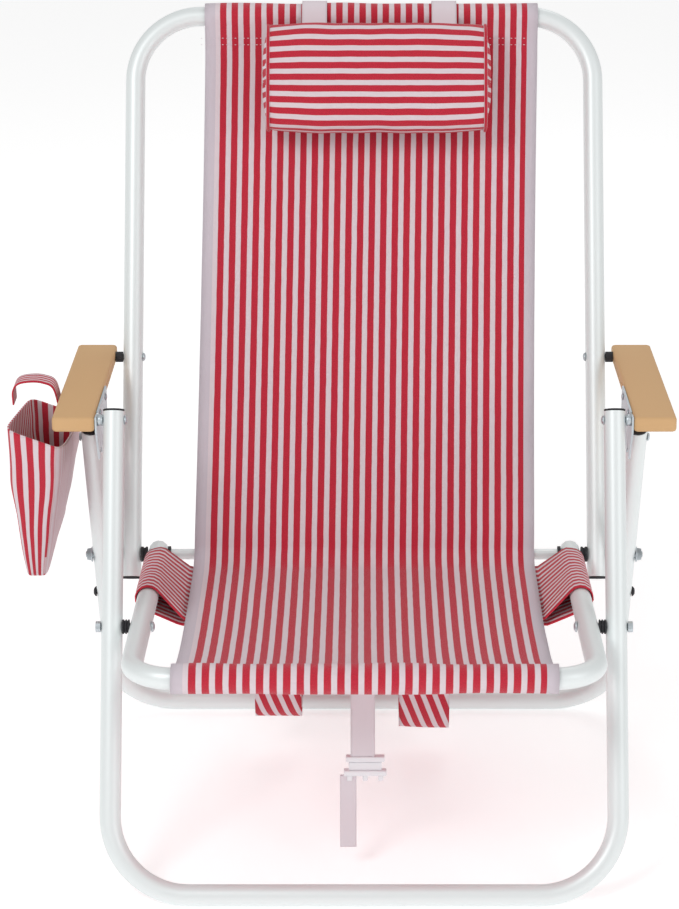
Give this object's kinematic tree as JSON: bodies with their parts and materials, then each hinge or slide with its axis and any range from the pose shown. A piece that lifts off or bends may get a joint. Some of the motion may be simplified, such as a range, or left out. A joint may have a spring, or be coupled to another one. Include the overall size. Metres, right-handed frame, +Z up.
{
  "type": "folding camp chair",
  "caption": "Low folding camp chair: bent tube frames, striped cloth sling, wooden armrests, head pillow, side pouch and carrying straps",
  "frame": {"origin": "on the floor, in the middle of the front leg's ground bar", "axes": "+X to the sitter's left, +Y to the rear, +Z up"},
  "size_m": [0.6968, 0.6902, 0.8016],
  "materials": {
    "enamel": "gloss white enamel on steel tube",
    "stripe": "woven cloth in fine red and white stripes",
    "webbing": "off-white ribbed webbing",
    "wood": "clear-varnished solid wood",
    "zinc": "bright zinc plate",
    "black": "black moulded plastic",
    "white_plastic": "white moulded plastic"
  },
  "bodies": {
    "seat": {"seat_frame": "enamel", "hinge_crossbar": "enamel", "sling_seat": "stripe", "under_band": "stripe", "closure_strap": "webbing", "closure_buckle": "white_plastic", "closure_tail": "webbing", "seat_cap_left": "white_plastic", "seat_cap_right": "white_plastic", "hinge_bolt_left": "zinc", "hinge_bolt_right": "zinc", "hinge_nut_left": "zinc", "hinge_nut_right": "zinc", "hinge_washer_left": "black", "hinge_washer_right": "black", "hinge_spacer_left": "black", "hinge_spacer_right": "black", "hinge_outer_spacer_left": "black", "hinge_outer_spacer_right": "black", "seat_pivot_bolt_left": "zinc", "seat_pivot_bolt_right": "zinc", "seat_pivot_nut_left": "zinc", "seat_pivot_nut_right": "zinc", "seat_pivot_spacer_left": "black", "seat_pivot_spacer_right": "black"},
    "back": {"back_frame": "enamel", "sling_back": "stripe", "pillow": "stripe", "back_plug_left": "black", "back_plug_right": "black", "pillow_strap_left": "webbing", "pillow_strap_right": "webbing", "pack_strap_left": "stripe", "pack_strap_right": "stripe", "armrest_bolt_left": "zinc", "armrest_bolt_right": "zinc", "armrest_spacer_left": "black", "armrest_spacer_right": "black"},
    "front_leg": {"front_leg_frame": "enamel", "front_leg_plug_left": "black", "front_leg_plug_right": "black", "armrest_plate_bolt_left": "zinc", "armrest_plate_bolt_right": "zinc"},
    "rear_leg": {"rear_leg_frame": "enamel", "rear_leg_plug_left": "black", "rear_leg_plug_right": "black", "leg_rivet_left": "black", "leg_rivet_right": "black", "latch_pin_left": "zinc", "latch_pin_right": "zinc"},
    "arm_left": {"armrest_left": "wood", "armrest_plate_left": "zinc", "plate_screw_front_left": "zinc", "plate_screw_rear_left": "zinc"},
    "arm_right": {"armrest_right": "wood", "armrest_plate_right": "zinc", "plate_screw_front_right": "zinc", "plate_screw_rear_right": "zinc", "pouch": "stripe", "pouch_loop": "stripe"}
  },
  "joints": [
    {"name": "fold", "type": "hinge", "parent": "seat", "child": "back", "pos_m": [0, 0.35922, 0.236], "axis": [1, 0, 0], "range_deg": [0, 97]},
    {"name": "front_leg_fold", "type": "hinge", "parent": "seat", "child": "front_leg", "pos_m": [0, 0.11896, 0.25491], "axis": [1, 0, 0], "range_deg": [0, 98]},
    {"name": "rear_leg_fold", "type": "hinge", "parent": "seat", "child": "rear_leg", "pos_m": [0, 0.35922, 0.236], "axis": [1, 0, 0], "range_deg": [0, 59]},
    {"name": "arm_left_fold", "type": "hinge", "parent": "back", "child": "arm_left", "pos_m": [0, 0.4561, 0.43463], "axis": [1, 0, 0], "range_deg": [-98, 0]},
    {"name": "arm_right_fold", "type": "hinge", "parent": "back", "child": "arm_right", "pos_m": [0, 0.4561, 0.43463], "axis": [1, 0, 0], "range_deg": [-98, 0]}
  ],
  "couplings": [
    {"joint": "front_leg_fold", "follows": "fold", "ratio": 1},
    {"joint": "rear_leg_fold", "follows": "fold", "ratio": 0.6},
    {"joint": "arm_left_fold", "follows": "fold", "ratio": -1},
    {"joint": "arm_right_fold", "follows": "fold", "ratio": -1}
  ]
}
